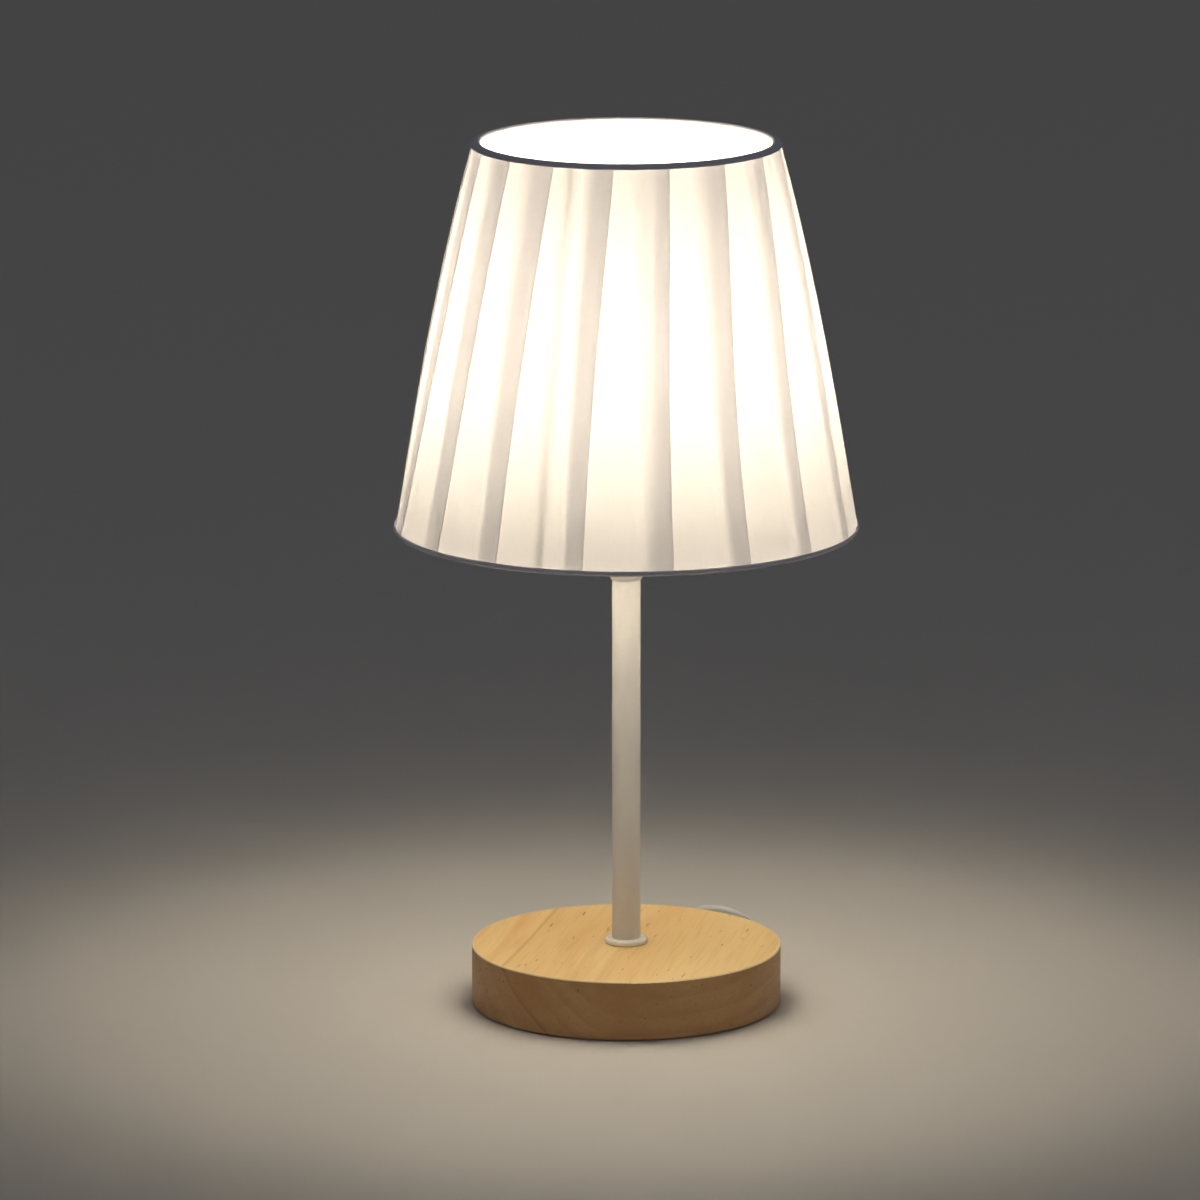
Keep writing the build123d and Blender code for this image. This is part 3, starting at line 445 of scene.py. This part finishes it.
def clothOutline(v, t):  # (degrees, inset, hidden, clear) round the shade at one height
    height = v["bottomHeight"] + v["web"] + t * (v["height"] - 2 * v["web"])
    perDegree = wall(v, height, 1.0) * math.pi / 180
    ease = t ** v["lapEase"]
    laps = [((1 - ease) * a + ease * b) / perDegree for a, b in zip(v["lapBottom"], v["lapTop"])]
    denses = [((1 - t) * a + t * b) / perDegree for a, b in zip(v["denseBottom"], v["denseTop"])]
    ramp, fold = v["rampWidth"] / perDegree, 0.22 / perDegree
    folds = foldAngles(v, t)
    points = []

    def layer(edge, lap, dense, inset):  # one hidden layer of a lap, from its inner turn to the fold
        loose = lap - dense
        steps = ((lap, v["turnShare"]), (dense + 0.7 * loose, v["gapShare"]),
                 (dense + 0.14 * loose, v["gapShare"]), (dense - 0.04 * loose, 0), (dense / 2, 0))
        return [(edge - back, inset, 1, clear) for back, clear in steps]

    for n, end in enumerate(folds):
        start = folds[n - 1] - (360 if n == 0 else 0)
        lap, before = laps[n], laps[n - 1]
        points.append((start - before - fold, (v["underInset"] + v["returnInset"]) / 2, 1, v["turnShare"]))
        points += layer(start, before, denses[n - 1], v["underInset"])
        liftOff = end - lap - ramp * v["rampLead"]
        panel = liftOff - start
        for k in range(10):
            rise = math.sin(math.pi * k / 9) * v["panelCrown"]
            inset = v["underInset"] + (v["panelInset"] - v["underInset"]) * min(1, k / 3) - rise
            points.append((start + panel * k / 10, inset, 0, 0))
        for k in range(4):
            share = k / 3
            inset = v["panelInset"] + (v["outerInset"] - v["panelInset"]) * share * share * (3 - 2 * share)
            points.append((liftOff + ramp * share, inset, 0, 0))
        rest = end - liftOff - ramp
        points += [(end - rest + rest * k / 4, v["outerInset"], 0, 0) for k in (1, 2, 3)]
        points.append((end - fold, v["outerInset"] + 0.02, 0, 0))
        points.append((end, (v["outerInset"] + v["returnInset"]) / 2, 0, 0))
        points.append((end - fold, v["returnInset"], 1, 0))
        points += reversed(layer(end, lap, denses[n], v["returnInset"]))
    return height, points


def makeCloth(v):
    bm = bmesh.new()
    order = bm.verts.layers.int.new("order")
    uv = bm.loops.layers.uv.new("weave")
    clearLayer = bm.verts.layers.float.new("clear")
    spanLayer = bm.verts.layers.float.new("span")
    riseLayer = bm.verts.layers.float.new("rise")

    def place(vert, t, height, point, span):
        degrees, inset, hidden, clear = point
        spot = Vector((degrees * 0.11, t * 2.2, 3.0))
        drift = 0 if hidden else v["wave"] * noise.noise(spot) * math.sin(math.pi * t)
        vert.co = onWall(v, degrees, height, max(0.6, inset + drift) - swellAt(v, height))
        vert[clearLayer] = clear
        vert[spanLayer] = span
        vert[riseLayer] = height / 1000

    height, outline = clothOutline(v, 0)
    spots = [Vector(onWall(v, point[0], height, point[1])) for point in outline]
    spans = [0.0]
    for a, b in zip(spots, spots[1:]):
        spans.append(spans[-1] + (a - b).length)
    ringVerts = [bm.verts.new() for point in outline]
    for n, vert in enumerate(ringVerts):
        vert[order] = n
        place(vert, 0, height, outline[n], spans[n])
    edges = [bm.edges.new((a, b)) for a, b in zip(ringVerts, ringVerts[1:] + ringVerts[:1])]
    for level in range(1, v["levels"] + 1):
        t = level / v["levels"]
        height, outline = clothOutline(v, t)
        grown = bmesh.ops.extrude_edge_only(bm, edges=edges)["geom"]
        edges = [g for g in grown if isinstance(g, bmesh.types.BMEdge)]
        for vert in (g for g in grown if isinstance(g, bmesh.types.BMVert)):
            place(vert, t, height, outline[vert[order]], spans[vert[order]])
    total = spans[-1]
    for face in bm.faces:
        for loop in face.loops:
            span = loop.vert[spanLayer]
            if span < total / 4 and max(l.vert[spanLayer] for l in face.loops) > total * 3 / 4:
                span += total
            loop[uv].uv = (span, loop.vert[riseLayer])
    return newObject("pleatedCloth", bm), total


cloth, clothWidth = makeCloth(shadeValues)

clothValues = dict(
    thread=srgb(250, 250, 252), slub=srgb(236, 235, 234), cloud=srgb(240, 239, 238), through=0.76,
)


def makeClothFinish(v):
    material, t, shader = newMaterial("pleatedCloth")
    t.nodes.remove(shader)
    uv = t.add("ShaderNodeUVMap", uv_map="weave").outputs["UV"]
    threads = t.add("ShaderNodeMapping", in_Vector=uv, in_Scale=(8000.0, 8000.0, 1.0)).outputs["Vector"]
    parts = t.add("ShaderNodeSeparateXYZ", in_Vector=threads)
    warp = t.maths("ABSOLUTE", t.maths("SINE", parts.outputs["X"]))
    weft = t.maths("ABSOLUTE", t.maths("SINE", parts.outputs["Y"]))
    weave = t.maths("MULTIPLY", warp, weft)
    slub = t.add("ShaderNodeTexNoise", in_Vector=t.add("ShaderNodeMapping", in_Vector=uv,
                 in_Scale=(1500.0, 90.0, 1.0)).outputs["Vector"], in_Scale=1.0, in_Detail=2.0).outputs["Fac"]
    cloudy = t.add("ShaderNodeTexNoise", in_Vector=uv, in_Scale=28.0, in_Detail=2.0).outputs["Fac"]
    clear = t.add("ShaderNodeAttribute", attribute_name="clear").outputs["Fac"]
    body = t.mixColour(t.maths("MULTIPLY", slub, 0.35), v["thread"], v["slub"])
    body = t.mixColour(t.maths("MULTIPLY", cloudy, 0.25), body, v["cloud"])
    raised = t.add("ShaderNodeBump", in_Strength=0.25, in_Distance=0.00005, in_Height=weave)
    front = t.add("ShaderNodeBsdfDiffuse", in_Color=body, in_Roughness=0.6,
                  in_Normal=raised.outputs["Normal"])
    behind = t.add("ShaderNodeBsdfTranslucent", in_Color=body, in_Normal=raised.outputs["Normal"])
    both = t.add("ShaderNodeMixShader", in_Fac=v["through"])
    gaps = t.add("ShaderNodeBsdfTransparent")
    cover = t.add("ShaderNodeMixShader", in_Fac=clear)
    t.tree.links.new(front.outputs[0], both.inputs[1])
    t.tree.links.new(behind.outputs[0], both.inputs[2])
    t.tree.links.new(both.outputs[0], cover.inputs[1])
    t.tree.links.new(gaps.outputs[0], cover.inputs[2])
    t.tree.links.new(cover.outputs[0], t.nodes["Material Output"].inputs["Surface"])
    return material


clothFinish = makeClothFinish(clothValues)
paint(cloth, clothFinish)
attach(cloth, "shade")
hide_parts("pleated_cover")


def makeLiner(v):
    low, high = v["bottomHeight"] + v["web"], v["bottomHeight"] + v["height"] - v["web"]
    bm = bmesh.new()
    bmesh.ops.create_cone(bm, segments=v["steps"], radius1=wall(v, low, v["linerInset"]) / 1000,
                          radius2=wall(v, high, v["linerInset"]) / 1000, depth=(high - low) / 1000)
    bmesh.ops.translate(bm, verts=bm.verts, vec=mm(0, 0, (low + high) / 2))
    upright = [e for e in bm.edges if abs(e.verts[0].co.z - e.verts[1].co.z) > 0.05]
    bmesh.ops.subdivide_edges(bm, edges=upright, cuts=12, use_grid_fill=False)
    return newObject("shadeLiner", bm)


liner = makeLiner(shadeValues)


def makeSeam(v):  # the lap where the liner's two ends are glued, its edges feathered out
    low, high = v["bottomHeight"] + v["web"] + 0.2, v["bottomHeight"] + v["height"] - v["web"] - 0.2
    inset = v["linerInset"] + v["linerThickness"]
    bm = bmesh.new()
    side = bm.verts.layers.float.new("side")
    clear = bm.verts.layers.float.new("clear")
    lower = []
    for k in (-1, -0.55, 0, 0.55, 1):
        across = math.degrees(k * v["seamWidth"] / 2 / wall(v, low, 0))
        vert = bm.verts.new(onWall(v, v["seamBottom"] + across, low, inset))
        vert[side], vert[clear] = k, 1.0 if abs(k) == 1 else 0.0
        lower.append(vert)
    edges = [bm.edges.new(pair) for pair in zip(lower, lower[1:])]
    grown = bmesh.ops.extrude_edge_only(bm, edges=edges)["geom"]
    for vert in (g for g in grown if isinstance(g, bmesh.types.BMVert)):
        across = math.degrees(vert[side] * v["seamWidth"] / 2 / wall(v, high, 0))
        vert.co = onWall(v, v["seamTop"] + across, high, inset)
    upright = [e for e in bm.edges if abs(e.verts[0].co.z - e.verts[1].co.z) > 0.05]
    bmesh.ops.subdivide_edges(bm, edges=upright, cuts=12, use_grid_fill=False)
    return newObject("linerSeam", bm)


seam = makeSeam(shadeValues)


def makeLinerFinish(name, colour, through, feathered=False):
    material, t, shader = newMaterial(name)
    t.nodes.remove(shader)
    group = t.add("ShaderNodeGroup", node_tree=mottle)
    for key, value in (("Scale", 30.0), ("Amount", 0.04), ("Colour", colour), ("Rough", 0.5),
                       ("RoughSpread", 0.1)):
        t.set(group, key, value)
    front = t.add("ShaderNodeBsdfDiffuse", in_Color=group.outputs["Colour"])
    behind = t.add("ShaderNodeBsdfTranslucent", in_Color=group.outputs["Colour"])
    both = t.add("ShaderNodeMixShader", in_Fac=through)
    t.tree.links.new(front.outputs[0], both.inputs[1])
    t.tree.links.new(behind.outputs[0], both.inputs[2])
    top = both
    if feathered:
        clear = t.add("ShaderNodeAttribute", attribute_name="clear").outputs["Fac"]
        top = t.add("ShaderNodeMixShader", in_Fac=clear)
        t.tree.links.new(both.outputs[0], top.inputs[1])
        t.tree.links.new(t.add("ShaderNodeBsdfTransparent").outputs[0], top.inputs[2])
    t.tree.links.new(top.outputs[0], t.nodes["Material Output"].inputs["Surface"])
    return material


linerColour = srgb(250, 249, 247)
for obj, finish in ((liner, makeLinerFinish("linerSheet", linerColour, 0.24)),
                    (seam, makeLinerFinish("linerSeam", linerColour, 0.36, feathered=True))):
    paint(obj, finish)
    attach(obj, "shade")
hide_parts("shade_liner")


def makeTrim(v, name, edge, inward, width):  # tape folded over the rim and the wire in it
    reach = v["trimReach"]
    roll = [(reach / 2 - reach / 2 * math.cos(math.radians(a)),
             reach / 2 * math.sin(math.radians(a)) * v["trimRoll"]) for a in range(0, 181, 15)]
    depth = max(h for o, h in roll)
    outside = [(0.30, width), (0.03, width - 0.3), (0.0, (width + depth) / 2)]
    inside = [(reach, v["trimInside"]), (reach - 0.35, v["trimInside"]), (reach - 0.5, depth + 0.1),
              (reach / 2, depth * 0.45), (0.52, depth), (0.52, width)]
    outline = outside + [(o, depth - h) for o, h in roll] + inside
    places = [(wall(v, edge + inward * h, o), edge + inward * h) for o, h in outline]
    return spinProfile(name, places, steps=240, sharp=60)


trimBottom = makeTrim(shadeValues, "trimBottom", shadeValues["bottomHeight"], 1,
                      shadeValues["trimBottomWidth"])
rimHeight = shadeValues["bottomHeight"] + shadeValues["height"]
trimTop = makeTrim(shadeValues, "trimTop", rimHeight, -1, shadeValues["trimTopWidth"])
for obj, node in ((trimBottom, "bottom_trim"), (trimTop, "top_trim")):
    paint(obj, tapeFinish)
    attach(obj, "shade")
    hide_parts(node)
print("shade made")


# Carried-over pieces take their finishes
finishes = {
    "base_disc": wood, "felt_pad": feltFinish, "base_weight": darkIron, "weight_screws": zincSteel,
    "base_collar": whiteNylon, "post": whitePaint, "threaded_tube": zincSteel, "base_washer": zincSteel,
    "base_lock_washer": zincSteel, "base_nut": zincSteel, "holder_nut": zincSteel,
    "lampholder_cup": whitePaint, "lampholder_body": whitePlastic, "lampholder_core": ceramic,
    "screw_shell": brass, "centre_contact": brass, "terminal_screws": brass, "switch_knob": whitePlastic,
    "switch_shaft": zincSteel, "switch_cam": brass, "shade_ring": whitePlastic, "fitter_ring": wirePaint,
    "fitter_arms": wirePaint, "bottom_wire_ring": wirePaint, "top_wire_ring": wirePaint,
    "bulb_globe": opal, "bulb_stem": ceramic, "bulb_filament": filamentGlow,
    "bulb_cap": aluminium, "cap_insulator": ceramic, "bulb_contact": zincSteel, "inner_cord": cordSheath,
    "inner_leads": leadFinish, "cord_gland": cordSheath, "plug_body": cordSheath, "plug_blades": brass,
    "coil_tie": whitePlastic,
}
for name, finish in finishes.items():
    paint(nodes[name], finish)
paint(cord, cordSheath)


# Stage: a pale floor and soft light, dim enough for the lamp to glow
stageValues = dict(floor=srgb(212, 209, 204), floorSize=14, world=(0.088, 0.090, 0.096, 1),
                   worldStrength=1.0, leftPower=0.9, rightPower=1.5, exposure=-0.12)

floorBm = bmesh.new()
bmesh.ops.create_grid(floorBm, x_segments=1, y_segments=1, size=stageValues["floorSize"])
floorObj = newObject("floor", floorBm)
paint(floorObj, plainFinish("paleFloor", stageValues["floor"], rough=0.7, scale=3.0, amount=0.02, bump=0.0))

world = bpy.data.worlds.new("softRoom")
world.use_nodes = True
world.node_tree.nodes["Background"].inputs["Color"].default_value = stageValues["world"]
world.node_tree.nodes["Background"].inputs["Strength"].default_value = stageValues["worldStrength"]
bpy.context.scene.world = world


def softLight(name, place, power, size, colour):
    data = bpy.data.lights.new(name, "AREA")
    data.energy = power
    data.size = size
    data.color = colour
    obj = bpy.data.objects.new(name, data)
    bpy.context.collection.objects.link(obj)
    obj.location = place
    obj.rotation_euler = (Vector((0, 0, 0.18)) - Vector(place)).to_track_quat("-Z", "Y").to_euler()


softLight("softLeft", (-1.7, -1.6, 1.9), stageValues["leftPower"], 1.6, (0.92, 0.96, 1.0))
softLight("softRight", (2.0, -1.3, 1.5), stageValues["rightPower"], 1.4, (1.0, 0.98, 0.95))
bpy.context.scene.view_settings.view_transform = "Standard"
bpy.context.scene.view_settings.exposure = stageValues["exposure"]

bpy.context.view_layer.update()
print("scene ready")
